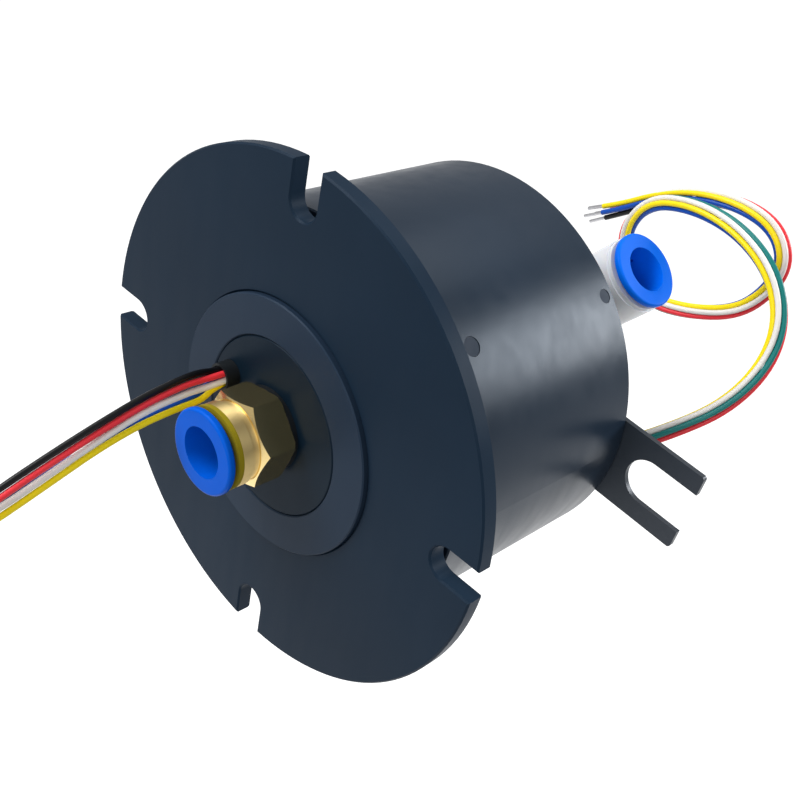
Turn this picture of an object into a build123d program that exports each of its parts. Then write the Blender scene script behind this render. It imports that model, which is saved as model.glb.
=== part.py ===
from build123d import *
import math
import os

os.makedirs("parts", exist_ok=True)

# Combined air and electric rotary union. Millimetres. The main axis is Y: the flange face looks
# towards -Y, the housing lies behind it towards +Y, and +Z is up. The origin is the centre of the
# flange's front face. A clock angle turns from +X towards +Z.

# Mounting flange
flange_r = 54.4
flange_t = 3.5
flange_edge = 0.35
slot_w = 7.0
slot_centre_r = 47.4
slot_count = 4

# Rotor hub and the spindle's head, which show as two discs on the flange face
hub_nose_r = 26.8
hub_nose_rise = 1.0
hub_nose_edge = 0.25
collar_r = 33.0
collar_t = 2.4
shoulder_r = 22.0
hub_wall = 3.2
head_r = 18.4
head_t = 4.8
head_recess = 0.1
head_gap = 0.12
head_edge = 0.2
tube_r = 9.0
land_r = 8.0
air_r = 4.0
land_l = 9.4

# Hub screws, countersunk, from behind the collar
hub_screw_count = 6
hub_screw_circle_r = 29.8
hub_screw_r = 1.45
hub_screw_head_r = 2.5
hub_screw_depth = 2.4

# Counts that every part shares
full_turn = 360.0
hex_sides = 6

# Clearances
fit = 0.05
running_fit = 0.08
seat_gap = 0.02
overshoot = 1.0
screw_fit = 0.05
pin_fit = 0.05
loose_fit = 0.6

# Ball bearings, one size, front and rear
bearing_bore_r = 20.0
bearing_r = 26.0
bearing_w = 7.0
race_t = 1.7
ball_r = 1.45
ball_count = 16
ball_fit = 0.06
cage_t = 0.7

# Housing
gap_behind_flange = 3.5
housing_r = 43.0
housing_wall = 3.0
housing_l = 51.4
housing_edge = 0.3
front_cover_t = 14.0
front_lip_t = 1.5
rear_cover_t = 5.2
rear_cup_l = 13.9
bearing_wall = 3.5
cover_lip = 2.0

# Radial pins that hold the covers in the housing
cover_pin_count = 4
cover_pin_clock = 45.0
front_pin_inset = 9.1
front_pin_r = 1.88
rear_pin_inset = 2.6
rear_pin_r = 1.5
cover_pin_l = 5.0
cover_pin_recess = 0.12

# Slip rings on a moulded sleeve between the bearings
ring_count = 6
ring_pitch = 3.3
ring_w = 2.0
ring_r = 23.2
ring_t = 2.0
barrier_r = 24.2

# Brush block and brushes
block_clock = 0.0
block_inner_gap = 1.05
block_outer_gap = 2.4
block_w = 13.0
brush_w = 0.8
brush_gap = 0.1
brush_spread = 3.0

# Rear end of the rotor
hub_tail = 2.0
clip_wall = 0.4
clip_t = 1.2
clip_depth = 1.0
clip_rise = 2.2
clip_mouth_deg = 50.0
guide_l = 5.0
guide_lip_t = 1.2
guide_lip_rise = 1.6

# Rotary seal housing on the rear cover
seal_housing_r = 14.0
seal_flange_t = 2.6
seal_housing_rear = 12.1
seal_w = 2.6
seal_h = 2.8
seal_lip_t = 0.9
seal_lip = 0.8
seal_pitch = 3.2
seal_count = 2
seal_screw_count = 4
seal_screw_step = 3.0
seal_flange_step = 3.0
seal_screw_r = 1.2
seal_screw_head_r = 2.2
seal_screw_head_t = 1.2
seal_screw_l = 6.0
seal_screw_socket_r = 1.0
seal_screw_clock = 0.0

# Anti-rotation fork
fork_clock = -4.5
fork_t = 1.2
fork_w = 19.4
fork_slot_w = 10.4
fork_slot_reach = 8.6
fork_tip_reach = 19.0
fork_root_gap = 3.0
fork_corner = 0.8
fork_screw_r = 1.45
fork_screw_head_r = 2.75
fork_screw_head_t = 1.6
fork_screw_top_r = 1.65
fork_screw_edge = 0.5
fork_screw_socket_r = 1.0
fork_screw_socket_depth = 0.8
fork_screw_l = 5.4
fork_screw_inset = 11.0
fork_screw_pitch = 11.0

# Push-in tube sockets, one size, in the front fitting and the elbow
tube_bore_r = 5.2
tube_socket_r = 7.0
tube_socket_l = 10.4
clamp_r = 8.45
clamp_t = 1.0
collet_r = 8.7
collet_rim_t = 1.6
collet_rim_round = 0.55
collet_sleeve_r = 6.6
collet_gap = 1.0
collet_sleeve_l = 4.4
collet_slot_w = 1.0
collet_slot_count = 4
collet_slot_l = 2.8
front_collet_clock = 0.0
elbow_collet_clock = 45.0
gripper_at = 5.5
gripper_t = 0.4
tube_seal_w = 1.8
tube_seal_at = 8.5

# Front fitting
hex_af = 17.0
hex_clock = 10.5
hex_l = 7.3
hex_flat_r = 8.25
hex_chamfer = 0.9
hex_rear_chamfer = 0.45
washer_t = 1.1
washer_r = 8.6
washer_gap_r = 6.8
neck_r = 7.9
neck_l = 1.7
fitting_collar_r = 8.4
fitting_collar_l = 2.3
thread_r = 6.58
thread_l = 9.4

# Elbow behind the housing
elbow_clock = 49.0
elbow_reach = 34.6
elbow_rise = 13.5
elbow_arm_r = 8.8
elbow_neck_r = 8.2
elbow_bore_r = 4.0
elbow_gap = 0.3
stem_hex_af = 16.0
stem_hex_l = 4.0
stem_thread_l = 8.0
spigot_r = 5.4
spigot_l = 7.0
stem_bore_r = 3.2
stem_seal_w = 1.6
stem_seal_h = 1.2

# Lead sleeves and wires
wire_r = 0.65
sleeve_r = 2.75
sleeve_wall = 0.5
sleeve_out = 3.0
front_lead_r = 13.9
front_lead_clock = 158.0
rear_lead_inset = 7.0
rear_lead_clock = -35.0
rear_wire_in = 1.2
rear_lead_straight = 4.6
tip_r = 0.42

# The wires' places: bundles, and the share of a run that each arc takes
bundle_r = 1.4
rear_fan_r = 1.7
wire_pitch = 1.35
arc_share = 0.45

# Coil of the front lead, wound about an axis along X, and its tie
coil_x = -13.3
coil_y = -79.0
coil_z = -37.5
coil_r = 18.0
coil_h = 5.6
coil_w = 4.4
coil_slope = 20.0
coil_bite = 0.2
lead_in_l = 9.0
tie_w = 3.0
tie_t = 0.5
tie_angle = 150.0

# Front wires: clock in the sleeve, row and column in the coil, and the points between
front_wires = {
    "black": (110, 0, 1, [(-13.2, -8.3, 7.6), (-13.3, -12.5, 7.8), (-13.5, -21.0, 6.1), (-13.4, -30.5, 3.4),
                          (-13.4, -40.0, 0.3), (-13.3, -49.5, -3.3), (-13.2, -60.5, -8.2)]),
    "red": (50, 0, 2, [(-12.4, -8.3, 6.2), (-12.5, -12.5, 6.2), (-13.0, -21.0, 4.4), (-12.9, -30.5, 1.6),
                       (-12.7, -40.0, -1.4), (-12.3, -49.5, -4.5), (-11.9, -60.5, -8.8)]),
    "white": (350, 1, 1, [(-12.0, -8.3, 4.4), (-12.0, -12.5, 4.5), (-12.7, -21.0, 3.0), (-12.7, -30.5, -0.1),
                          (-12.8, -40.0, -3.7), (-12.9, -49.5, -7.1), (-13.1, -60.5, -11.0)]),
    "yellow": (290, 1, 2, [(-11.9, -8.3, 1.8), (-11.9, -12.5, 1.8), (-12.7, -21.0, 0.1), (-12.8, -30.5, -2.8),
                           (-12.5, -40.0, -5.8), (-12.3, -49.5, -9.6), (-12.1, -60.5, -12.4)]),
    "blue": (230, 1, 0, [(-14.0, -8.3, 1.8), (-14.2, -12.5, 1.6), (-14.6, -21.0, 0.3), (-14.7, -30.5, -2.4),
                         (-14.8, -40.0, -4.9), (-14.7, -49.5, -8.1), (-14.7, -60.5, -12.0)]),
    "green": (170, 0, 0, [(-14.7, -8.3, 6.0), (-14.7, -12.5, 6.3), (-14.9, -21.0, 4.7), (-14.9, -30.5, 1.9),
                          (-14.9, -40.0, -1.2), (-14.8, -49.5, -4.8), (-14.8, -60.5, -9.6)]),
}

# Rear wires: the bundle's centre line behind the housing with its twist at each point,
# and each wire's clock round that line with the length of its bare tip
rear_route = [
    (33.5, 72.5, -13.0, 22), (43.5, 80.5, -3.6, 22), (50.0, 88.0, 4.4, -5), (52.6, 93.8, 14.5, -32),
    (50.5, 97.5, 24.0, -40), (43.4, 100.0, 32.0, -75), (32.0, 102.0, 36.4, -111),
    (19.5, 103.5, 36.4, -147), (7.5, 105.2, 32.2, -182), (1.6, 106.8, 22.5, -218),
    (4.0, 108.6, 12.0, -254), (12.5, 109.6, 6.3, -290), (24.0, 110.4, 8.6, -325),
    (34.8, 111.0, 14.2, -350), (40.2, 110.7, 22.5, -375), (41.6, 110.4, 31.0, -375),
    (36.4, 110.2, 37.4, -375), (26.5, 110.2, 38.8, -400), (14.5, 110.9, 35.8, -430),
    (4.0, 111.7, 29.6, -455), (-2.6, 112.3, 24.6, -455), (-8.2, 112.9, 20.9, -455)]
rear_wires = {"black": (250, 5.2), "red": (310, 4.6), "white": (70, 6.4),
              "blue": (190, 5.8), "yellow": (130, 4.9), "green": (10, 5.5)}

# Places along the main axis that follow from the sizes
nose_y = -hub_nose_rise
head_y = nose_y + head_recess
head_back_y = head_y + head_t
collar_back_y = flange_t + collar_t
housing_y = flange_t + gap_behind_flange
housing_back_y = housing_y + housing_l
bearing_y = housing_y + front_lip_t
sleeve_y = bearing_y + bearing_w
rear_cover_y = housing_back_y - rear_cover_t
front_cover_back_y = housing_y + front_cover_t
rear_bearing_y = rear_cover_y - rear_cup_l
ring_stack_l = rear_bearing_y - sleeve_y
front_pin_y = housing_y + front_pin_inset
rear_pin_y = housing_back_y - rear_pin_inset
hub_back_y = rear_bearing_y + bearing_w + hub_tail
hub_bore_r = bearing_bore_r - hub_wall
cover_r = housing_r - housing_wall
bearing_seat_r = bearing_r + fit
cup_r = bearing_seat_r + bearing_wall
block_r = cup_r + block_inner_gap
block_outer_r = cover_r - block_outer_gap
rear_lead_r = cover_r - rear_lead_inset
seal_screw_circle_r = seal_housing_r + seal_screw_step
seal_flange_r = seal_screw_circle_r + seal_flange_step
fork_root_r = seal_flange_r + fork_root_gap
fork_screw_x = housing_r - fork_screw_inset
fork_slot_r = housing_r + fork_slot_reach
fork_tip_r = housing_r + fork_tip_reach
guide_back_y = hub_back_y + guide_lip_t
land_y = guide_back_y + clip_t + clip_wall
spindle_back_y = land_y + land_l
seal_back_y = housing_back_y + seal_housing_rear
elbow_y = seal_back_y + elbow_rise
mouth_y = nose_y - washer_t - hex_l - neck_l - fitting_collar_l
elbow_mouth_r = elbow_reach - clamp_t - collet_gap - collet_rim_t


def turned(*outline):
    """Solid of revolution about the main axis from (radius, y) corners."""
    return revolve(make_face(Polyline(*outline, close=True)), Axis.Y)


def ring(r_in, r_out, y0, y1):
    return turned((r_in, y0), (r_out, y0), (r_out, y1), (r_in, y1))


def rod(r, y0, y1):
    return Pos(0, (y0 + y1) / 2, 0) * Rot(90, 0, 0) * Cylinder(r, y1 - y0)


def bar(x0, x1, y0, y1, w):
    """Box along +X, centred on Z."""
    return Pos((x0 + x1) / 2, (y0 + y1) / 2, 0) * Box(x1 - x0, y1 - y0, w)


def at_clock(shape, clock):
    return Rot(0, -clock, 0) * shape


def round_the_axis(shape, count, start):
    return [at_clock(shape, start + full_turn * i / count) for i in range(count)]


def polar(r, clock, y):
    a = math.radians(clock)
    return (r * math.cos(a), y, r * math.sin(a))


def save(name, shape):
    export_step(shape, f"parts/{name}.step")


def group(solids):
    return Compound(children=[s for part in solids for s in part.solids()])


def hexagon(af, y0, y1, clock, flat_r):
    """Hexagonal bar about the main axis whose corners are turned off, at the front to flat_r."""
    corner_r = af / 2 / math.cos(math.pi / hex_sides)
    prism = extrude(Plane.XZ.offset(-y0) * RegularPolygon(corner_r, hex_sides), -(y1 - y0))
    blank = turned((0, y0), (flat_r, y0), (corner_r, y0 + hex_chamfer), (corner_r, y1 - hex_rear_chamfer),
                   (corner_r - hex_rear_chamfer, y1), (0, y1))
    return at_clock(prism, clock) & blank


def hex_socket(r, y, depth):
    """Hexagonal recess about the main axis, sunk into a face that looks towards +Y."""
    return Plane.XZ.offset(-y - overshoot) * extrude(RegularPolygon(r, hex_sides), depth + overshoot)


def mounting_flange():
    plate = ring(hub_nose_r + fit, flange_r, 0, flange_t)
    slot = bar(slot_centre_r, flange_r + slot_w, -flange_t, 2 * flange_t, slot_w)
    slot += Pos(slot_centre_r, 0, 0) * rod(slot_w / 2, -flange_t, 2 * flange_t)
    for cut in round_the_axis(slot, slot_count, 0):
        plate -= cut
    plate = chamfer(plate.faces().sort_by(Axis.Y)[0].edges(), flange_edge)
    plate = chamfer(plate.faces().sort_by(Axis.Y)[-1].edges().filter_by(GeomType.CIRCLE).sort_by(
        SortBy.RADIUS)[-slot_count:], flange_edge)
    hole = Pos(hub_screw_circle_r, 0, 0) * rod(
        hub_screw_r + screw_fit, flange_t - hub_screw_depth - seat_gap, flange_t)
    for cut in round_the_axis(hole, hub_screw_count, 0):
        plate -= cut
    return plate


def hub_screw_shape(grow):
    """Countersunk screw about the main axis, its head flush with the collar's back."""
    cone = hub_screw_head_r - hub_screw_r
    return turned((0, flange_t - hub_screw_depth), (hub_screw_r + grow, flange_t - hub_screw_depth),
                  (hub_screw_r + grow, collar_back_y - cone), (hub_screw_head_r + grow, collar_back_y),
                  (0, collar_back_y))


def rotor_hub():
    edge = hub_nose_edge
    hub = turned((head_r + head_gap + edge, nose_y), (hub_nose_r - edge, nose_y),
                 (hub_nose_r, nose_y + edge), (hub_nose_r, flange_t), (collar_r, flange_t),
                 (collar_r, collar_back_y), (shoulder_r, collar_back_y), (shoulder_r, bearing_y),
                 (bearing_bore_r - fit, bearing_y), (bearing_bore_r - fit, hub_back_y),
                 (hub_bore_r, hub_back_y), (hub_bore_r, head_back_y),
                 (head_r + head_gap, head_back_y), (head_r + head_gap, nose_y + edge))
    screw_space = Pos(hub_screw_circle_r, 0, 0) * hub_screw_shape(screw_fit)
    for cut in round_the_axis(screw_space, hub_screw_count, 0):
        hub -= cut
    clip_y = rear_bearing_y + bearing_w
    return hub - ring(bearing_bore_r - clip_depth, bearing_r, clip_y, clip_y + clip_t)


def hub_screws():
    screw = Pos(hub_screw_circle_r, 0, 0) * hub_screw_shape(0)
    return group(round_the_axis(screw, hub_screw_count, 0))


def air_spindle():
    """One turned piece: the head on the flange face, the air tube and the seal land at the back."""
    edge = head_edge
    bore_y = nose_y - washer_t + thread_l + fit
    spindle = turned((thread_r + fit, head_y), (head_r - edge, head_y), (head_r, head_y + edge),
                     (head_r, head_back_y), (tube_r, head_back_y), (tube_r, land_y),
                     (land_r, land_y), (land_r, spindle_back_y), (air_r, spindle_back_y),
                     (air_r, bore_y), (thread_r + fit, bore_y))
    spindle -= Pos(*polar(front_lead_r, front_lead_clock, 0)) * rod(
        sleeve_r + fit, head_y - overshoot, head_back_y + overshoot)
    return spindle - ring(tube_r - clip_depth, tube_r + overshoot, guide_back_y, guide_back_y + clip_t)


def spindle_guide():
    """Bush between the spindle and the hub's open end, with a lip on the hub's back face."""
    return turned((tube_r + fit, hub_back_y - guide_l), (hub_bore_r - fit, hub_back_y - guide_l),
                  (hub_bore_r - fit, hub_back_y), (hub_bore_r + guide_lip_rise, hub_back_y),
                  (hub_bore_r + guide_lip_rise, guide_back_y), (tube_r + fit, guide_back_y))


def circlip(shaft_r, y0, clock):
    """Open spring ring in a shaft's groove."""
    clip = ring(shaft_r - clip_depth + seat_gap, shaft_r + clip_rise - clip_depth,
                y0 + seat_gap, y0 + clip_t - seat_gap)
    mouth = Rot(0, -clock, 0) * bar(0, shaft_r + clip_rise, y0 - overshoot, y0 + clip_t + overshoot,
                                    2 * shaft_r * math.sin(math.radians(clip_mouth_deg / 2)))
    return clip - mouth


def race_groove(y0):
    """The balls' running groove, as a torus about the main axis."""
    middle_r = (bearing_bore_r + bearing_r) / 2
    return Pos(0, y0 + bearing_w / 2, 0) * Rot(90, 0, 0) * Torus(middle_r, ball_r + ball_fit)


def bearing_inner(y0):
    race = ring(bearing_bore_r, bearing_bore_r + race_t, y0 + seat_gap, y0 + bearing_w - seat_gap)
    return race - race_groove(y0)


def bearing_outer(y0):
    return ring(bearing_r - race_t, bearing_r, y0 + seat_gap, y0 + bearing_w - seat_gap) - race_groove(y0)


def bearing_balls(y0):
    middle_r = (bearing_bore_r + bearing_r) / 2
    ball = Pos(middle_r, y0 + bearing_w / 2, 0) * Sphere(ball_r)
    return group(round_the_axis(ball, ball_count, 0))


def bearing_cage(y0):
    """Moulded crown cage with a pocket round each ball."""
    middle_r = (bearing_bore_r + bearing_r) / 2
    middle_y = y0 + bearing_w / 2
    cage = ring(middle_r - cage_t / 2, middle_r + cage_t / 2, middle_y - ball_r, middle_y + 2 * ball_r)
    pocket = Pos(middle_r, middle_y, 0) * Rot(0, 90, 0) * Cylinder(ball_r + ball_fit, 2 * cage_t)
    for cut in round_the_axis(pocket, ball_count, 0):
        cage -= cut
    return cage


def ring_y(index):
    """Middle of one slip ring along the main axis."""
    return sleeve_y + ring_stack_l / 2 + (index - (ring_count - 1) / 2) * ring_pitch


def insulating_sleeve():
    """Moulded sleeve with barriers between the rings; it also spaces the bearings."""
    outline = [(bearing_bore_r, sleeve_y), (shoulder_r, sleeve_y)]
    for i in range(ring_count):
        y0, y1 = ring_y(i) - ring_w / 2, ring_y(i) + ring_w / 2
        inner = ring_r - ring_t
        if i == 0:
            outline += [(shoulder_r, ring_y(0) - ring_pitch / 2), (barrier_r, ring_y(0) - ring_pitch / 2)]
        outline += [(barrier_r, y0), (inner, y0), (inner, y1), (barrier_r, y1)]
    last = ring_y(ring_count - 1) + ring_pitch / 2
    outline += [(barrier_r, last), (shoulder_r, last)]
    outline += [(shoulder_r, rear_bearing_y), (bearing_bore_r, rear_bearing_y)]
    return turned(*outline)


def slip_rings():
    half = ring_w / 2 - seat_gap
    return group([ring(ring_r - ring_t + seat_gap, ring_r, ring_y(i) - half, ring_y(i) + half)
                  for i in range(ring_count)])


def brush_block():
    """Moulded bar whose front end sits in a pocket of the front cover and whose back meets the rear cover."""
    return at_clock(bar(block_r, block_outer_r, sleeve_y, rear_cover_y, block_w), block_clock)


def brushes():
    """Two sprung contact strips a ring, from the block down to each side of the ring's top."""
    strips = []
    for i in range(ring_count):
        for side in (-1, 1):
            z = side * brush_spread
            foot = math.sqrt((ring_r + brush_gap) ** 2 - (abs(z) - brush_w / 2) ** 2)
            strip = Pos((foot + block_r) / 2, ring_y(i), z) * Box(block_r - foot, brush_w, brush_w)
            strips.append(at_clock(strip, block_clock))
    return group(strips)


def radial_rod(r, r_in, r_out, y):
    """Cylinder along +X from one radius to another."""
    return Pos((r_in + r_out) / 2, y, 0) * Rot(0, 90, 0) * Cylinder(r, r_out - r_in)


def cover_pin_space(y, r):
    """Radial holes through the housing wall into a cover."""
    tip_r = housing_r - cover_pin_recess - cover_pin_l
    hole = radial_rod(r, tip_r - seat_gap, housing_r + overshoot, y)
    return round_the_axis(hole, cover_pin_count, cover_pin_clock)


def cover_pins(y, r):
    """Plain pins, sunk a little below the housing's surface."""
    top_r = housing_r - cover_pin_recess
    pin = radial_rod(r - pin_fit, top_r - cover_pin_l, top_r, y)
    return group(round_the_axis(pin, cover_pin_count, cover_pin_clock))


def housing_tube():
    edge = housing_edge
    tube = turned((cover_r, housing_y), (housing_r - edge, housing_y), (housing_r, housing_y + edge),
                  (housing_r, housing_back_y - edge), (housing_r - edge, housing_back_y),
                  (cover_r, housing_back_y))
    holes = cover_pin_space(front_pin_y, front_pin_r) + cover_pin_space(rear_pin_y, rear_pin_r)
    for cut in holes:
        tube -= cut
    return tube


def front_cover():
    """Front plate with the bearing's seat, a wider bore for the brushes and a pocket for their block."""
    lip_r = shoulder_r + loose_fit
    brush_bore_r = block_r + loose_fit
    cover = turned((lip_r, housing_y), (cover_r - fit, housing_y), (cover_r - fit, front_cover_back_y),
                   (brush_bore_r, front_cover_back_y), (brush_bore_r, sleeve_y), (bearing_seat_r, sleeve_y),
                   (bearing_seat_r, bearing_y), (lip_r, bearing_y))
    for cut in cover_pin_space(front_pin_y, front_pin_r):
        cover -= cut
    pocket = bar(block_r, block_outer_r + fit, sleeve_y, front_cover_back_y + overshoot, block_w + 2 * fit)
    return cover - at_clock(pocket, block_clock)


def rear_cover():
    """Rear plate with the rear bearing's cup on its inner side."""
    lip_r = bearing_seat_r - cover_lip
    stop_y = rear_bearing_y + bearing_w
    cover = turned((bearing_seat_r, rear_bearing_y), (cup_r, rear_bearing_y), (cup_r, rear_cover_y),
                   (cover_r - fit, rear_cover_y), (cover_r - fit, housing_back_y),
                   (seal_housing_r + fit, housing_back_y), (seal_housing_r + fit, rear_cover_y),
                   (lip_r, rear_cover_y), (lip_r, stop_y), (bearing_seat_r, stop_y))
    fork_hole = rod(fork_screw_r + screw_fit, fork_screw_tip_y() - seat_gap, housing_back_y)
    seal_hole = Pos(seal_screw_circle_r, 0, 0) * rod(
        seal_screw_r + screw_fit, seal_screw_tip_y() - seat_gap, housing_back_y)
    cuts = cover_pin_space(rear_pin_y, rear_pin_r)
    cuts += [at_clock(Pos(x, 0, z) * fork_hole, fork_clock) for x, z in fork_screw_places()]
    cuts += round_the_axis(seal_hole, seal_screw_count, seal_screw_clock)
    cuts.append(Pos(*polar(rear_lead_r, rear_lead_clock, 0)) * rod(
        sleeve_r + fit, rear_cover_y - overshoot, housing_back_y + overshoot))
    for cut in cuts:
        cover -= cut
    return cover


def fork_screw_places():
    return [(fork_screw_x, side * fork_screw_pitch / 2) for side in (-1, 1)]


def fork_screw_tip_y():
    return housing_back_y + fork_t - fork_screw_l


def seal_screw_tip_y():
    return housing_back_y + seal_flange_t - seal_screw_l


def anti_rotation_fork():
    """Flat plate with an open slot, on the rear cover's face."""
    y0, y1 = housing_back_y, housing_back_y + fork_t
    plate = bar(fork_root_r, fork_tip_r, y0, y1, fork_w)
    plate = fillet(plate.edges().filter_by(Axis.Y), fork_corner)
    plate -= bar(fork_slot_r, fork_tip_r + overshoot, y0 - overshoot, y1 + overshoot, fork_slot_w)
    plate -= Pos(fork_slot_r, 0, 0) * rod(fork_slot_w / 2, y0 - overshoot, y1 + overshoot)
    for x, z in fork_screw_places():
        plate -= Pos(x, 0, z) * rod(fork_screw_r + screw_fit, y0 - overshoot, y1 + overshoot)
    return at_clock(plate, fork_clock)


def fork_screws():
    """Button-head screws with hexagon sockets."""
    seat = housing_back_y + fork_t
    top = seat + fork_screw_head_t
    screw = turned((0, fork_screw_tip_y()), (fork_screw_r, fork_screw_tip_y()), (fork_screw_r, seat),
                   (fork_screw_head_r, seat), (fork_screw_head_r, seat + fork_screw_edge),
                   (fork_screw_top_r, top), (0, top))
    screw -= hex_socket(fork_screw_socket_r, top, fork_screw_socket_depth)
    return group([at_clock(Pos(x, 0, z) * screw, fork_clock) for x, z in fork_screw_places()])


def seal_places():
    """Front edge of each rotary seal's groove."""
    return [rear_cover_y + seal_lip + i * seal_pitch for i in range(seal_count)]


def seal_housing():
    """Stationary cup round the spindle's land, with the air port in its back."""
    chamber_y = spindle_back_y + loose_fit
    port_y = seal_back_y - stem_thread_l - loose_fit
    outline = [(land_r + running_fit, rear_cover_y), (seal_housing_r, rear_cover_y),
               (seal_housing_r, housing_back_y), (seal_flange_r, housing_back_y),
               (seal_flange_r, housing_back_y + seal_flange_t),
               (seal_housing_r, housing_back_y + seal_flange_t),
               (seal_housing_r, seal_back_y), (thread_r + fit, seal_back_y), (thread_r + fit, port_y),
               (air_r, port_y), (air_r, chamber_y), (land_r + running_fit, chamber_y)]
    cup = turned(*outline)
    for y in seal_places():
        cup -= ring(land_r, land_r + seal_h + fit, y - fit, y + seal_w + fit)
    hole = Pos(seal_screw_circle_r, 0, 0) * rod(
        seal_screw_r + screw_fit, housing_back_y - overshoot, seal_back_y)
    for cut in round_the_axis(hole, seal_screw_count, seal_screw_clock):
        cup -= cut
    return cup


def seal_screws():
    seat = housing_back_y + seal_flange_t
    top = seat + seal_screw_head_t
    screw = turned((0, seal_screw_tip_y()), (seal_screw_r, seal_screw_tip_y()), (seal_screw_r, seat),
                   (seal_screw_head_r, seat), (seal_screw_head_r, top), (0, top))
    screw -= hex_socket(seal_screw_socket_r, top, seal_screw_head_t / 2)
    screw = Pos(seal_screw_circle_r, 0, 0) * screw
    return group(round_the_axis(screw, seal_screw_count, seal_screw_clock))


def rotary_seal(index):
    """Lip seal: a U-section whose mouth looks into the air."""
    y = seal_places()[index]
    inner, outer = land_r + running_fit, land_r + seal_h
    notch = seal_lip_t
    return turned((inner, y), (outer, y), (outer, y + seal_w), (outer - notch, y + seal_w),
                  ((inner + outer) / 2, y + seal_w / 2), (inner + notch, y + seal_w), (inner, y + seal_w))


def to_elbow(shape):
    """Turn a socket piece that opens towards -Y into the elbow's arm."""
    arm = Rot(0, 0, 90) * shape
    return at_clock(Pos(elbow_mouth_r, elbow_y, 0) * arm, elbow_clock)


def to_front(shape):
    return Pos(0, mouth_y, 0) * shape


def collet(clock):
    """Release sleeve with split fingers; its rim stands clear of the clamp ring by its travel."""
    back = -clamp_t - collet_gap
    front = back - collet_rim_t
    rim = ring(tube_bore_r, collet_r, front, back)
    rim = fillet(rim.edges().filter_by(GeomType.CIRCLE).group_by(SortBy.RADIUS)[-1], collet_rim_round)
    sleeve = ring(tube_bore_r, collet_sleeve_r, back, collet_sleeve_l)
    slot = bar(0, collet_r, collet_sleeve_l - collet_slot_l, collet_sleeve_l + overshoot, collet_slot_w)
    for cut in round_the_axis(slot, collet_slot_count, clock):
        sleeve -= cut
    return rim + sleeve


def clamp_ring():
    return ring(collet_sleeve_r + running_fit, clamp_r, -clamp_t, 0)


def gripper():
    """Sprung steel ring whose inner edge leans inwards."""
    return turned((tube_bore_r + fit, gripper_at + gripper_t), (tube_socket_r - fit, gripper_at),
                  (tube_socket_r - fit, gripper_at + gripper_t), (tube_bore_r + fit, gripper_at + 2 * gripper_t))


def tube_seal():
    middle = (tube_bore_r + tube_socket_r) / 2
    section_r = (tube_socket_r - tube_bore_r) / 2 - fit
    return Pos(0, tube_seal_at + tube_seal_w / 2, 0) * Rot(90, 0, 0) * Torus(middle, section_r)


def front_fitting():
    """Turned brass body: thread, hexagon, neck, collar and the tube socket."""
    hex_y = mouth_y + fitting_collar_l + neck_l
    seat_y = nose_y - washer_t
    body = rod(fitting_collar_r, mouth_y, mouth_y + fitting_collar_l)
    body += rod(neck_r, mouth_y + fitting_collar_l, hex_y)
    body += hexagon(hex_af, hex_y, seat_y, hex_clock, hex_flat_r)
    body += rod(thread_r, seat_y, seat_y + thread_l)
    body -= rod(tube_socket_r, mouth_y - overshoot, mouth_y + tube_socket_l)
    return body - rod(air_r, mouth_y, seat_y + thread_l + overshoot)


def front_washer():
    return ring(washer_gap_r, washer_r, nose_y - washer_t, head_y)


def elbow_body():
    """Moulded elbow: a neck on the stem, a round knuckle and the arm with the tube socket."""
    arm = radial_rod(elbow_arm_r, 0, elbow_mouth_r, elbow_y)
    body = arm + Pos(0, elbow_y, 0) * Sphere(elbow_arm_r)
    body += rod(elbow_neck_r, seal_back_y + stem_hex_l + elbow_gap, elbow_y)
    body -= radial_rod(tube_socket_r, elbow_mouth_r - tube_socket_l, elbow_mouth_r, elbow_y)
    body -= radial_rod(elbow_bore_r, 0, elbow_mouth_r, elbow_y)
    body -= rod(spigot_r + running_fit, seal_back_y, seal_back_y + stem_hex_l + elbow_gap + spigot_l)
    body -= rod(elbow_bore_r, seal_back_y, elbow_y)
    return at_clock(body, elbow_clock)


def elbow_stem():
    """Plated stem: thread, hexagon and the spigot that the elbow turns on."""
    hex_back = seal_back_y + stem_hex_l
    stem = rod(thread_r, seal_back_y - stem_thread_l, seal_back_y)
    stem += hexagon(stem_hex_af, seal_back_y, hex_back, 0, stem_hex_af / 2)
    stem += rod(spigot_r, hex_back, hex_back + spigot_l)
    middle = hex_back + spigot_l / 2
    half = stem_seal_w / 2
    stem -= ring(spigot_r - stem_seal_h, spigot_r + overshoot, middle - half, middle + half)
    return stem - rod(stem_bore_r, seal_back_y - stem_thread_l - overshoot, hex_back + spigot_l + overshoot)


def stem_seal():
    middle = seal_back_y + stem_hex_l + spigot_l / 2
    half = stem_seal_w / 2 - fit
    return ring(spigot_r - stem_seal_h + fit, spigot_r, middle - half, middle + half)


def lead_sleeve(place, y0, y1):
    """Rubber sleeve round the wires where they leave a turned piece."""
    return Pos(*place) * ring(sleeve_r - sleeve_wall, sleeve_r, y0, y1)


def corner_radii(points):
    """The largest arcs that the runs of a route leave room for."""
    places = [Vector(*point) for point in points]
    runs = [end - start for start, end in zip(places, places[1:])]
    radii = []
    for before, after in zip(runs, runs[1:]):
        half_turn = math.radians(before.get_angle(after)) / 2
        radii.append(arc_share * min(before.length, after.length) / math.tan(half_turn))
    return radii


def wire(name, points):
    """Insulated wire: a tube along straight runs joined by tangent arcs."""
    radii = corner_radii(points)
    path = FilletPolyline(*points, radius=radii)
    tube = sweep(Plane(origin=path @ 0, z_dir=path % 0) * Circle(wire_r), path=path)
    print(name, f"{path.length:.1f} mm long, smallest arc {min(radii):.1f} mm,",
          f"volume share {tube.volume / (math.pi * wire_r ** 2 * path.length):.3f}")
    return tube


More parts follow.
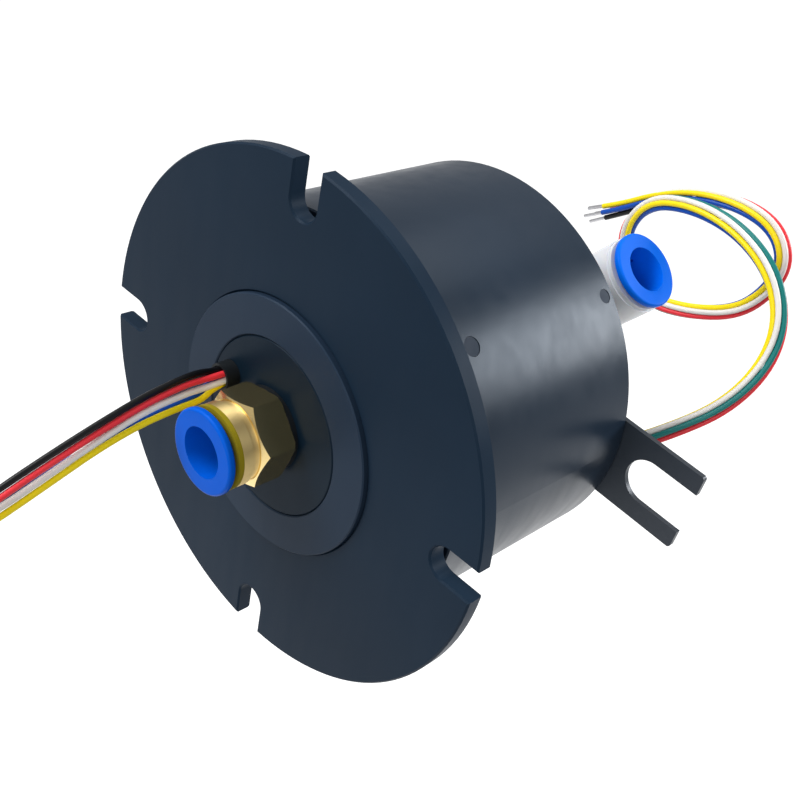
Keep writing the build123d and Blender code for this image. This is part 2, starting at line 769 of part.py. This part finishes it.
def coil_grid(row, column):
    """Radius and X of one wire where it joins the coil's outer layer."""
    layer_r = coil_r + wire_pitch
    return layer_r + (0.5 - row) * wire_pitch, coil_x + (column - 1) * wire_pitch


def coil_lead_in(row, column):
    """Last two points of a front wire, on the line that touches the coil's circle."""
    r, x = coil_grid(row, column)
    slope = math.radians(coil_slope)
    along = (-math.cos(slope), -math.sin(slope))
    touch = (coil_y - r * math.sin(slope), coil_z + r * math.cos(slope))
    end = math.sqrt((coil_r + coil_h / 2 - coil_bite) ** 2 - r ** 2)
    return [(x, touch[0] - s * along[0], touch[1] - s * along[1]) for s in (end + lead_in_l, end)]


def front_wire_route(start_clock, row, column, free_points):
    x, _, z = polar(front_lead_r, front_lead_clock, 0)
    angle = math.radians(start_clock)
    x, z = x + bundle_r * math.cos(angle), z + bundle_r * math.sin(angle)
    mouth = head_y - sleeve_out - overshoot
    return [(x, head_back_y - seat_gap, z), (x, mouth, z), *free_points, *coil_lead_in(row, column)]


def coil_turn(r_in, r_out, w, start, size):
    """Part of a turn about the coil's axis, with a rectangular section."""
    section = Plane.XY * Pos(0, (r_in + r_out) / 2) * Rectangle(w, r_out - r_in)
    turn = revolve(section, Axis.X, size)
    return Pos(coil_x, coil_y, coil_z) * Rot(start, 0, 0) * turn


def lead_coil():
    """Outer shape of the coil that the front wires are put away in."""
    return coil_turn(coil_r - coil_h / 2, coil_r + coil_h / 2, coil_w, 0, full_turn)


def lead_tie():
    """Strap round the coil's section."""
    half = coil_h / 2
    size = math.degrees(tie_w / coil_r)
    band = coil_turn(coil_r - half - tie_t, coil_r + half + tie_t, coil_w + 2 * tie_t, tie_angle, size)
    return band - lead_coil()


def bundle_wire_route(clock):
    """The rear bundle's centre line, shifted sideways in a frame that turns with it; the ends fan out."""
    inner = polar(rear_lead_r, rear_lead_clock, rear_cover_y + rear_wire_in)
    outer = polar(rear_lead_r, rear_lead_clock, housing_back_y + rear_lead_straight)
    places = [Vector(*inner), Vector(*outer)] + [Vector(*place) for *place, _ in rear_route]
    twists = [0, 0] + [twist for *_, twist in rear_route]
    offsets = [bundle_r] * (len(places) - 1) + [rear_fan_r]
    runs = [(end - start).normalized() for start, end in zip(places, places[1:])]
    ahead = [runs[0]] + [(a + b).normalized() for a, b in zip(runs, runs[1:])] + [runs[-1]]
    normal = Vector(0, 0, 1)
    points = []
    for place, tangent, twist, offset in zip(places, ahead, twists, offsets):
        normal = (normal - tangent * normal.dot(tangent)).normalized()
        side = tangent.cross(normal)
        angle = math.radians(clock + twist)
        shifted = place + normal * (offset * math.sin(angle)) + side * (offset * math.cos(angle))
        points.append(tuple(shifted))
    return points


def bare_tip(points, length):
    """Tinned end of a wire's strands, straight on from the last two points of its route."""
    before, end = Vector(*points[-2]), Vector(*points[-1])
    return Plane(origin=end, z_dir=end - before) * Pos(0, 0, length / 2) * Cylinder(tip_r, length)


save("mounting_flange", mounting_flange())
save("rotor_hub", rotor_hub())
save("hub_screws", hub_screws())
save("air_spindle", air_spindle())
save("spindle_guide", spindle_guide())
save("spindle_circlip", circlip(tube_r, guide_back_y, 0))
save("hub_circlip", circlip(bearing_bore_r, rear_bearing_y + bearing_w, 0))
save("insulating_sleeve", insulating_sleeve())
save("slip_rings", slip_rings())
for end, place_y in (("front", bearing_y), ("rear", rear_bearing_y)):
    save(f"{end}_bearing_inner_ring", bearing_inner(place_y))
    save(f"{end}_bearing_outer_ring", bearing_outer(place_y))
    save(f"{end}_bearing_balls", bearing_balls(place_y))
    save(f"{end}_bearing_cage", bearing_cage(place_y))
save("housing_tube", housing_tube())
save("front_cover", front_cover())
save("rear_cover", rear_cover())
save("front_cover_pins", cover_pins(front_pin_y, front_pin_r))
save("rear_cover_pins", cover_pins(rear_pin_y, rear_pin_r))
save("brush_block", brush_block())
save("brushes", brushes())
save("anti_rotation_fork", anti_rotation_fork())
save("fork_screws", fork_screws())
save("seal_housing", seal_housing())
save("seal_housing_screws", seal_screws())
for number in range(seal_count):
    save(f"rotary_seal_{number + 1}", rotary_seal(number))
save("front_fitting_body", front_fitting())
save("front_fitting_washer", front_washer())
save("front_fitting_clamp_ring", to_front(clamp_ring()))
save("front_fitting_gripper", to_front(gripper()))
save("front_fitting_tube_seal", to_front(tube_seal()))
save("front_release_collet", to_front(collet(front_collet_clock)))
save("elbow_stem", elbow_stem())
save("elbow_stem_seal", stem_seal())
save("elbow_body", elbow_body())
save("elbow_clamp_ring", to_elbow(clamp_ring()))
save("elbow_gripper", to_elbow(gripper()))
save("elbow_tube_seal", to_elbow(tube_seal()))
save("elbow_release_collet", to_elbow(collet(elbow_collet_clock)))
front_hole = polar(front_lead_r, front_lead_clock, 0)
save("front_lead_sleeve", lead_sleeve(front_hole, head_y - sleeve_out, head_back_y))
rear_hole = polar(rear_lead_r, rear_lead_clock, 0)
save("rear_lead_sleeve", lead_sleeve(rear_hole, rear_cover_y, housing_back_y + sleeve_out))
for colour, (start_clock, row, column, free_points) in front_wires.items():
    node = f"front_wire_{colour}"
    save(node, wire(node, front_wire_route(start_clock, row, column, free_points)))
for colour, (clock, _) in rear_wires.items():
    node = f"rear_wire_{colour}"
    save(node, wire(node, bundle_wire_route(clock)))
tips = [bare_tip(bundle_wire_route(clock), length) for clock, length in rear_wires.values()]
save("rear_wire_tips", group(tips))
save("front_lead_coil", lead_coil())
save("front_lead_tie", lead_tie())
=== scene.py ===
"""Looks of the rotary union: materials, free leads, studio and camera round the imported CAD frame.

Shared frame: origin at the centre of the flange's front face, -Y out of the face, +Z up.
"""
import math

import bpy
from mathutils import Matrix, Vector


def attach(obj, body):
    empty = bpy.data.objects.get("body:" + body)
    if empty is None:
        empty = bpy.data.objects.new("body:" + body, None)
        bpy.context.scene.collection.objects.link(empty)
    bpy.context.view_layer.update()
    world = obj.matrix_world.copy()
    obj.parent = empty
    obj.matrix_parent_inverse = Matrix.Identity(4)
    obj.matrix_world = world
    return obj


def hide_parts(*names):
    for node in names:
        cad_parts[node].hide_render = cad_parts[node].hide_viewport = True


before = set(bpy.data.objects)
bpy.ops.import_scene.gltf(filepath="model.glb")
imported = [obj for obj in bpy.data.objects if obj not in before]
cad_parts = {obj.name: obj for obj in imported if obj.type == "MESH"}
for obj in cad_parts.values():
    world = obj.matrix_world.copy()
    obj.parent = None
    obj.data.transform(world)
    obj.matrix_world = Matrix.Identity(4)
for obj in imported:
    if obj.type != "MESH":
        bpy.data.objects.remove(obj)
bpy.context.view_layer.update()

MM = 0.001

# Camera, as the photograph's: place in metres, directions, lens and sensor in millimetres
CAMERA_AT = (0.12741, -0.11899, 0.12489)
CAMERA_RIGHT = (0.6861, 0.7067, 0.1724)
CAMERA_DOWN = (0.4984, -0.2841, -0.8190)
CAMERA_LENS = 49.03
CAMERA_SENSOR = 36

# Studio, in metres. The lamps: place, target, size and power in watts.
FLOOR_Z = -0.4
FLOOR_SIZE = 6
FLOOR_GREY = 0.45
FLOOR_ROUGHNESS = 0.9
FLOOR_GLOW = 0.8
WORLD_LEVEL = 0.5
WHITE = (1, 1, 1, 1)
LAMPS = {
    "key": ((-0.30, -0.28, 0.48), (0, 0, 0.02), (0.4, 0.4), 4.2),
    "fill": ((0.30, -0.42, 0.22), (0, 0, 0), (0.35, 0.35), 1.0),
    "top": ((-0.04, 0.40, 0.69), (0, 0, 0), (0.4, 0.35), 1.5),
    "side": ((0.41, 0.62, 0.28), (0, 0.02, 0), (0.26, 0.33), 4.4),
}

# Materials: sockets of a Mix node for colours, the range that a noise keeps to, relief in metres
MIX_FIRST, MIX_SECOND, MIX_RESULT = 6, 7, 2
NOISE_LOW, NOISE_HIGH = 0.3, 0.7
BUMP_DEPTH = 0.00005
ANODISE_TINT = (0.72, 0.85, 1.0, 1.0)

# Brass fitting: in front of HEX_FRONT_Y, in metres, it is turned, and the hexagon behind is milled
HEX_FRONT_Y = -0.0094
TURNED_ROUGHNESS = 0.46
MILLED_ROUGHNESS = 0.26
TURNED_ANISOTROPY = 0.85
QUARTER_TURN = 0.25

# Leads, in millimetres: bundles of six wires
WIRE_R = 0.65
WIRE_PITCH = 1.35
WIRE_BEVEL_STEPS = 5
WIRE_CURVE_STEPS = 6
BUNDLE_R = 1.4
REAR_FAN_R = 1.7

# Front wires: out of the sleeve and through free points into a coil, two layers of three wires,
# with its centre at COIL. They come in along LEAD_IN at COIL_SLOPE and wind the outer turn first,
# and from step COIL_DROP_AT on they drop two pitches inwards.
FRONT_HOLE = (-12.888, 5.207)
FRONT_START_Y = 3.88
FRONT_MOUTH_Y = -4.9
COIL = (-13.3, -79.0, -37.5)
COIL_R = 18.0
COIL_OUTER_R = 20.6
COIL_SLOPE = math.radians(20)
COIL_STEP = math.radians(15)
COIL_STEPS = 30
COIL_DROP_AT = 21
COIL_DROP_STEPS = 4
LEAD_IN = 9.0
# Each wire's clock in the sleeve in degrees, its layer and column in the coil, and its free points
FRONT_WIRES = {
    "black": (110, 0, 1, [
        (-13.2, -8.3, 7.5), (-13.2, -12.5, 7.45), (-13.5, -21.0, 5.8), (-13.4, -30.5, 3.1),
        (-13.4, -40.0, -0.1), (-13.2, -49.5, -3.4), (-13.2, -60.5, -8.2)]),
    "red": (50, 0, 2, [
        (-12.4, -8.3, 6.2), (-12.5, -12.5, 6.2), (-13.0, -21.0, 4.4), (-12.9, -30.5, 1.6),
        (-12.7, -40.0, -1.4), (-12.3, -49.5, -4.5), (-11.9, -60.5, -8.8)]),
    "white": (350, 1, 1, [
        (-12.0, -8.3, 4.4), (-12.0, -12.5, 4.5), (-12.7, -21.0, 3.0), (-12.7, -30.5, -0.1),
        (-12.8, -40.0, -3.75), (-12.9, -49.5, -7.5), (-13.1, -60.5, -11.0)]),
    "yellow": (290, 1, 2, [
        (-11.9, -8.3, 1.8), (-11.9, -12.5, 1.8), (-12.7, -21.0, 0.4), (-12.8, -30.5, -2.15),
        (-12.5, -40.0, -5.5), (-12.3, -49.5, -8.9), (-12.1, -60.5, -12.4)]),
    "blue": (230, 1, 0, [
        (-13.7, -8.3, 1.9), (-13.4, -12.5, 1.5), (-14.1, -21.0, -0.05), (-14.4, -30.5, -2.7),
        (-14.7, -40.0, -4.9), (-14.7, -49.5, -8.1), (-14.7, -60.5, -12.0)]),
    "green": (170, 0, 0, [
        (-14.5, -8.3, 5.8), (-14.5, -12.5, 5.9), (-14.8, -21.0, 4.2), (-14.7, -30.5, 1.6),
        (-14.7, -40.0, -1.6), (-14.6, -49.5, -5.0), (-14.8, -60.5, -9.6)]),
}

# The rear bundle's points, each with the bundle's twist there in degrees. The middle line and both
# ends are the CAD tubes'; between them the twist follows the order of the wires in the photograph.
REAR_ROUTE = [
    (27.032, 54.4, -18.928, 0), (27.032, 63.0, -18.928, 0), (33.5, 72.5, -13.0, 25),
    (43.5, 80.5, -3.6, 30), (50.0, 88.0, 4.4, 22), (52.6, 93.8, 14.5, 8), (50.5, 97.5, 24.0, -14),
    (43.4, 100.0, 32.0, -20), (32.0, 102.0, 36.4, -22), (19.5, 103.5, 36.4, -42),
    (7.5, 105.2, 32.2, -40), (1.6, 106.8, 22.5, 11), (4.0, 108.6, 12.0, 70), (12.5, 109.6, 6.3, 75),
    (24.0, 110.4, 8.6, 58), (34.8, 111.0, 14.2, 36), (40.2, 110.7, 22.5, 5),
    (41.6, 110.4, 31.0, -19), (36.4, 110.2, 37.4, -35), (26.5, 110.2, 38.8, -50),
    (14.5, 110.9, 35.8, -75), (4.0, 111.7, 29.6, -95), (-2.6, 112.3, 24.6, -95),
    (-8.2, 112.9, 20.9, -95)]
# Each wire's clock in the bundle in degrees
REAR_WIRES = {"black": 250, "red": 310, "white": 70, "blue": 190, "yellow": 130, "green": 10}
# At this point, behind the collet, red passes over green and they change places: turn and radius
PASSING_AT = 11
PASSING = {"red": (30, 2.2), "green": (-30, 0.75)}

WIRE_COLOURS = {
    "black": (0.004, 0.004, 0.005), "red": (0.78, 0.036, 0.050), "white": (0.78, 0.76, 0.72),
    "yellow": (0.92, 0.72, 0.008), "blue": (0.004, 0.07, 0.42), "green": (0.004, 0.17, 0.16)}


def metres(point):
    return Vector(point) * MM


class Paint:
    """A Principled material and short ways to add nodes to it, all in object coordinates."""

    def __init__(self, name, colour, roughness, metallic=0.0):
        self.made = bpy.data.materials.new(name)
        self.made.use_nodes = True
        self.nodes = self.made.node_tree.nodes
        self.links = self.made.node_tree.links
        self.shader = self.nodes["Principled BSDF"]
        self.colour = (*colour, 1.0)
        self.roughness = roughness
        self.set(Base_Color=self.colour, Metallic=metallic, Roughness=roughness)
        self.place = self.add("ShaderNodeTexCoord").outputs["Object"]
        self.normal = None

    def add(self, kind, inputs=None, **settings):
        """A new node, with its settings and the values of its input sockets."""
        node = self.nodes.new(kind)
        for key, value in settings.items():
            setattr(node, key, value)
        for key, value in (inputs or {}).items():
            node.inputs[key].default_value = value
        return node

    def set(self, **values):
        for key, value in values.items():
            self.shader.inputs[key.replace("_", " ")].default_value = value

    def noise(self, scale, detail, stretch=(1, 1, 1)):
        mapping = self.add("ShaderNodeMapping", {"Scale": stretch})
        node = self.add("ShaderNodeTexNoise", {"Scale": scale, "Detail": detail})
        self.links.new(self.place, mapping.inputs["Vector"])
        self.links.new(mapping.outputs["Vector"], node.inputs["Vector"])
        return node.outputs["Fac"]

    def lines(self, scale, distortion, wave_type="RINGS"):
        """Fine turned lines: rings about the main axis on a face, bands along it on a cylinder."""
        node = self.add("ShaderNodeTexWave", {"Scale": scale, "Distortion": distortion},
                        wave_type=wave_type, rings_direction="Y", bands_direction="Y")
        self.links.new(self.place, node.inputs["Vector"])
        return node.outputs["Fac"]

    def spread(self, pattern, low, high):
        """Map a noise to a range."""
        node = self.add("ShaderNodeMapRange", {
            "From Min": NOISE_LOW, "From Max": NOISE_HIGH, "To Min": low, "To Max": high})
        self.links.new(pattern, node.inputs["Value"])
        return node.outputs["Result"]

    def vary_colour(self, pattern, factor):
        """Vary the colour between its own shade and one that is factor times as bright."""
        other = (*(c * factor for c in self.colour[:3]), 1.0)
        mix = self.add("ShaderNodeMix", data_type="RGBA",
                       inputs={MIX_FIRST: self.colour, MIX_SECOND: other})
        self.links.new(self.spread(pattern, 0.0, 1.0), mix.inputs["Factor"])
        self.links.new(mix.outputs[MIX_RESULT], self.shader.inputs["Base Color"])

    def vary_roughness(self, pattern, less, more):
        """Vary the roughness from less below its own value to more above it."""
        varied = self.spread(pattern, self.roughness - less, self.roughness + more)
        self.links.new(varied, self.shader.inputs["Roughness"])

    def bump(self, pattern, strength):
        """Add fine relief to what is there already."""
        node = self.add("ShaderNodeBump", {"Strength": strength, "Distance": BUMP_DEPTH})
        self.links.new(pattern, node.inputs["Height"])
        if self.normal is not None:
            self.links.new(self.normal, node.inputs["Normal"])
        self.normal = node.outputs["Normal"]
        self.links.new(self.normal, self.shader.inputs["Normal"])


def anodised(name, colour, roughness, shine, lines=0.0):
    """Dyed anodised aluminium: satin, with a fine grain, soft patches and light rub marks."""
    paint = Paint(name, colour, roughness)
    paint.vary_colour(paint.noise(scale=35, detail=4), factor=1.15)
    paint.vary_roughness(paint.noise(scale=260, detail=6, stretch=(1, 1, 0.15)), 0.03, 0.05)
    paint.bump(paint.noise(scale=5200, detail=2), strength=0.1)
    if lines:
        paint.bump(paint.lines(scale=900, distortion=0.4), strength=lines)
    paint.set(Specular_IOR_Level=shine, Specular_Tint=ANODISE_TINT)
    return paint.made


def steel(name, colour, roughness, metallic=1.0):
    """Drawn or ground steel; blackened steel is less metallic."""
    paint = Paint(name, colour, roughness, metallic)
    paint.vary_roughness(paint.noise(scale=1500, detail=4), 0.06, 0.08)
    paint.bump(paint.noise(scale=3000, detail=3, stretch=(1, 4, 1)), strength=0.12)
    return paint.made


def brass(name, colour, roughness):
    """Bright turned brass: faint tool lines round the main axis and a thin, even tarnish."""
    paint = Paint(name, colour, roughness, metallic=1.0)
    paint.vary_colour(paint.noise(scale=90, detail=3), factor=0.93)
    paint.vary_roughness(paint.noise(scale=400, detail=2), 0.02, 0.03)
    paint.bump(paint.lines(scale=700, distortion=0.6), strength=0.03)
    return paint.made


def turned_and_milled_brass(name, colour):
    """The fitting: its turned neck and collar spread light along the axis, its hexagon less."""
    paint = Paint(name, colour, TURNED_ROUGHNESS, metallic=1.0)
    paint.vary_colour(paint.noise(scale=90, detail=3), factor=0.93)
    parts = paint.add("ShaderNodeSeparateXYZ")
    paint.links.new(paint.place, parts.inputs["Vector"])
    turned = paint.add("ShaderNodeMath", {1: HEX_FRONT_Y}, operation="LESS_THAN")
    paint.links.new(parts.outputs["Y"], turned.inputs[0])
    for socket, milled, lathe in (("Roughness", MILLED_ROUGHNESS, TURNED_ROUGHNESS),
                                  ("Anisotropic", 0.0, TURNED_ANISOTROPY)):
        pick = paint.add("ShaderNodeMapRange", {"To Min": milled, "To Max": lathe})
        paint.links.new(turned.outputs[0], pick.inputs["Value"])
        paint.links.new(pick.outputs["Result"], paint.shader.inputs[socket])
    paint.set(Anisotropic_Rotation=QUARTER_TURN)
    grain = paint.add("ShaderNodeTangent", direction_type="RADIAL", axis="Y")
    paint.links.new(grain.outputs["Tangent"], paint.shader.inputs["Tangent"])
    tool_lines = paint.add("ShaderNodeMath", operation="MULTIPLY")
    bands = paint.lines(scale=900, distortion=1.5, wave_type="BANDS")
    paint.links.new(bands, tool_lines.inputs[0])
    paint.links.new(turned.outputs[0], tool_lines.inputs[1])
    paint.bump(tool_lines.outputs[0], strength=0.3)
    return paint.made


def plastic(name, colour, roughness, inner=0.0, coat=0.0, shine=0.5):
    """Moulded plastic with a faint flow pattern and a fine surface."""
    paint = Paint(name, colour, roughness)
    paint.vary_colour(paint.noise(scale=120, detail=3), factor=0.92)
    paint.vary_roughness(paint.noise(scale=700, detail=4), 0.04, 0.05)
    paint.bump(paint.noise(scale=1400, detail=2), strength=0.08)
    paint.set(Subsurface_Weight=inner, Subsurface_Scale=0.002, Coat_Weight=coat,
              Coat_Roughness=0.12, Specular_IOR_Level=shine)
    return paint.made


def rubber(name, colour):
    """Dull rubber, with a fine grain."""
    paint = Paint(name, colour, roughness=0.55)
    paint.vary_roughness(paint.noise(scale=1100, detail=4), 0.07, 0.07)
    paint.bump(paint.noise(scale=4200, detail=3), strength=0.2)
    paint.set(Specular_IOR_Level=0.2)
    return paint.made


def dress(made, *names):
    """Give CAD nodes a material."""
    for name in names:
        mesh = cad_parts[name].data
        mesh.materials.clear()
        mesh.materials.append(made)


def coil_grid(layer, column):
    """A wire's radius and x in the coil."""
    return COIL_R + WIRE_PITCH + (0.5 - layer) * WIRE_PITCH, COIL[0] + (column - 1) * WIRE_PITCH


def coil_point(x, r, turned):
    angle = COIL_SLOPE + turned
    return (x, COIL[1] - r * math.sin(angle), COIL[2] + r * math.cos(angle))


def coil_layer_r(r, step):
    dropped = min(max((step - COIL_DROP_AT) / COIL_DROP_STEPS, 0.0), 1.0)
    return r - 2 * WIRE_PITCH * dropped


def front_route(start_clock, layer, column, free_points):
    """A front wire's points: out of the sleeve, along its free points and round the coil."""
    angle = math.radians(start_clock)
    x = FRONT_HOLE[0] + BUNDLE_R * math.cos(angle)
    z = FRONT_HOLE[1] + BUNDLE_R * math.sin(angle)
    r, coil_x = coil_grid(layer, column)
    touch = coil_point(coil_x, r, 0)
    end = math.sqrt(COIL_OUTER_R ** 2 - r ** 2)
    lead_in = [(coil_x, touch[1] + s * math.cos(COIL_SLOPE), touch[2] + s * math.sin(COIL_SLOPE))
               for s in (end + LEAD_IN, end)]
    turns = [coil_point(coil_x, coil_layer_r(r, step), step * COIL_STEP)
             for step in range(1, COIL_STEPS)]
    return [(x, FRONT_START_Y, z), (x, FRONT_MOUTH_Y, z), *free_points, *lead_in, *turns]


def rear_route(colour, clock):
    """The rear bundle's middle line, shifted sideways in a frame that turns with it."""
    places = [Vector(place) for *place, _ in REAR_ROUTE]
    twists = [twist for *_, twist in REAR_ROUTE]
    offsets = [BUNDLE_R] * (len(places) - 1) + [REAR_FAN_R]
    if colour in PASSING:
        turn, offsets[PASSING_AT] = PASSING[colour]
        twists[PASSING_AT] += turn
        twists[PASSING_AT + 1:] = [twist + 2 * turn for twist in twists[PASSING_AT + 1:]]
    runs = [(end - start).normalized() for start, end in zip(places, places[1:])]
    ahead = [runs[0]] + [(a + b).normalized() for a, b in zip(runs, runs[1:])] + [runs[-1]]
    normal = Vector((0, 0, 1))
    points = []
    for place, tangent, twist, offset in zip(places, ahead, twists, offsets):
        normal = (normal - tangent * normal.dot(tangent)).normalized()
        side = tangent.cross(normal)
        angle = math.radians(clock + twist)
        points.append(place + normal * (offset * math.sin(angle))
                      + side * (offset * math.cos(angle)))
    return points


def wire_curve(name, points, made):
    """A round wire along a smooth spline with these control points."""
    curve = bpy.data.curves.new(name, "CURVE")
    curve.dimensions = "3D"
    curve.bevel_depth = WIRE_R * MM
    curve.bevel_resolution = WIRE_BEVEL_STEPS
    curve.resolution_u = WIRE_CURVE_STEPS
    curve.use_fill_caps = True
    spline = curve.splines.new("NURBS")
    spline.points.add(len(points) - 1)
    for place, point in zip(spline.points, points):
        place.co = (*metres(point), 1.0)
    spline.order_u = 3
    spline.use_endpoint_u = True
    wire = bpy.data.objects.new(name, curve)
    bpy.context.scene.collection.objects.link(wire)
    curve.materials.append(made)
    return wire


def front_leads(paints):
    for colour, (start_clock, layer, column, free_points) in FRONT_WIRES.items():
        points = front_route(start_clock, layer, column, free_points)
        wire = wire_curve(f"front_lead_{colour}", points, paints[colour])
        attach(wire, "rotor")
        first = colour == "black"
        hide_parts(f"front_wire_{colour}", *(["front_lead_coil"] if first else []))


def rear_leads(paints):
    for colour, clock in REAR_WIRES.items():
        points = rear_route(colour, clock)
        wire = wire_curve(f"rear_lead_{colour}", points, paints[colour])
        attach(wire, "housing")
        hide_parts(f"rear_wire_{colour}")


def dress_metals():
    dress(anodised("flange_anodise", (0.0072, 0.0165, 0.031), 0.40, 0.065), "mounting_flange")
    dress(anodised("hub_anodise", (0.013, 0.024, 0.043), 0.38, 0.085, lines=0.05), "rotor_hub")
    dress(anodised("spindle_anodise", (0.0035, 0.010, 0.019), 0.38, 0.075, lines=0.05),
          "air_spindle")
    dress(anodised("housing_anodise", (0.008, 0.016, 0.029), 0.31, 0.22), "housing_tube")
    dress(anodised("cover_anodise", (0.008, 0.014, 0.024), 0.40, 0.3), "front_cover", "rear_cover")
    dress(anodised("seal_housing_anodise", (0.008, 0.014, 0.024), 0.40, 0.3), "seal_housing")
    dress(steel("fork_steel", (0.022, 0.030, 0.042), 0.40, metallic=0.3), "anti_rotation_fork")
    dress(anodised("pin_steel", (0.007, 0.014, 0.028), 0.45, 0.12),
          "front_cover_pins", "rear_cover_pins")
    dress(steel("black_screw_steel", (0.012, 0.012, 0.014), 0.45, metallic=0.3),
          "fork_screws", "hub_screws", "seal_housing_screws")
    dress(steel("spring_steel", (0.42, 0.42, 0.44), 0.28),
          "hub_circlip", "spindle_circlip", "front_fitting_gripper", "elbow_gripper")
    dress(steel("bearing_steel", (0.55, 0.56, 0.58), 0.2),
          *(f"{end}_bearing_{piece}" for end in ("front", "rear")
            for piece in ("inner_ring", "outer_ring", "balls")))
    dress(steel("stem_nickel", (0.62, 0.60, 0.55), 0.2), "elbow_stem")
    dress(steel("tinned_copper", (0.55, 0.55, 0.57), 0.34), "rear_wire_tips")
    dress(brass("ring_brass", (0.70, 0.43, 0.12), 0.22), "slip_rings")
    dress(brass("brush_brass", (0.62, 0.36, 0.12), 0.3), "brushes")
    dress(turned_and_milled_brass("fitting_brass", (0.83, 0.64, 0.29)), "front_fitting_body")


def dress_plastics():
    dress(plastic("cage_plastic", (0.5, 0.42, 0.24), 0.5),
          "front_bearing_cage", "rear_bearing_cage")
    dress(plastic("guide_plastic", (0.66, 0.63, 0.54), 0.5), "spindle_guide")
    dress(plastic("insulator_plastic", (0.012, 0.012, 0.014), 0.5),
          "insulating_sleeve", "brush_block")
    dress(plastic("yellow_ring", (0.29, 0.23, 0.012), 0.34, shine=0.15),
          "front_fitting_clamp_ring")
    dress(plastic("front_collet_blue", (0.001, 0.098, 0.60), 0.34, shine=0.05),
          "front_release_collet")
    dress(plastic("rear_collet_blue", (0.001, 0.140, 0.80), 0.34, shine=0.05),
          "elbow_release_collet")
    dress(plastic("elbow_white", (0.74, 0.76, 0.80), 0.35, inner=0.1, coat=0.2), "elbow_body")
    dress(plastic("elbow_pale_ring", (0.66, 0.68, 0.72), 0.35, inner=0.1, coat=0.2),
          "elbow_clamp_ring")
    dress(plastic("tie_plastic", (0.012, 0.012, 0.013), 0.5), "front_lead_tie")
    dress(rubber("black_rubber", (0.006, 0.008, 0.010)),
          "front_fitting_washer", "front_fitting_tube_seal", "elbow_tube_seal", "elbow_stem_seal",
          "front_lead_sleeve", "rear_lead_sleeve", "rotary_seal_1", "rotary_seal_2")


def soft_light(name, place, target, size, power):
    light = bpy.data.lights.new(name, "AREA")
    light.shape = "RECTANGLE"
    light.size, light.size_y = size
    light.energy = power
    lamp = bpy.data.objects.new(name, light)
    bpy.context.scene.collection.objects.link(lamp)
    lamp.location = place
    lamp.rotation_euler = (Vector(target) - Vector(place)).to_track_quat("-Z", "Y").to_euler()


def pale_floor():
    """A floor that looks white where it is seen or mirrored, and lights the object as grey."""
    paint = Paint("pale_floor", (FLOOR_GREY,) * 3, FLOOR_ROUGHNESS)
    ray = paint.add("ShaderNodeLightPath")
    seen = ray.outputs["Is Camera Ray"]
    for kind in ("Is Glossy Ray", "Is Transmission Ray"):
        either = paint.add("ShaderNodeMath", operation="MAXIMUM")
        paint.links.new(seen, either.inputs[0])
        paint.links.new(ray.outputs[kind], either.inputs[1])
        seen = either.outputs[0]
    glow = paint.add("ShaderNodeMath", {1: FLOOR_GLOW}, operation="MULTIPLY")
    paint.links.new(seen, glow.inputs[0])
    paint.links.new(glow.outputs[0], paint.shader.inputs["Emission Strength"])
    paint.set(Emission_Color=WHITE)
    return paint.made


def studio():
    world = bpy.data.worlds.new("studio")
    bpy.context.scene.world = world
    world.use_nodes = True
    background = world.node_tree.nodes["Background"]
    background.inputs["Color"].default_value = WHITE
    background.inputs["Strength"].default_value = WORLD_LEVEL
    bpy.ops.mesh.primitive_plane_add(size=FLOOR_SIZE, location=(0, 0, FLOOR_Z))
    floor = bpy.context.object
    floor.name = "floor"
    floor.data.materials.append(pale_floor())
    for name, lamp in LAMPS.items():
        soft_light(name, *lamp)


def photo_camera():
    data = bpy.data.cameras.new("camera")
    data.lens = CAMERA_LENS
    data.sensor_width = CAMERA_SENSOR
    camera = bpy.data.objects.new("camera", data)
    bpy.context.scene.collection.objects.link(camera)
    right = Vector(CAMERA_RIGHT).normalized()
    back = right.cross(-Vector(CAMERA_DOWN)).normalized()
    up = back.cross(right)
    turn = Matrix((right, up, back)).transposed().to_4x4()
    camera.matrix_world = Matrix.Translation(CAMERA_AT) @ turn
    bpy.context.scene.camera = camera


wire_paints = {colour: plastic(f"wire_{colour}", shade, 0.32, shine=0.25)
               for colour, shade in WIRE_COLOURS.items()}
dress_metals()
dress_plastics()
front_leads(wire_paints)
rear_leads(wire_paints)
studio()
photo_camera()
bpy.context.scene.view_settings.view_transform = "Standard"
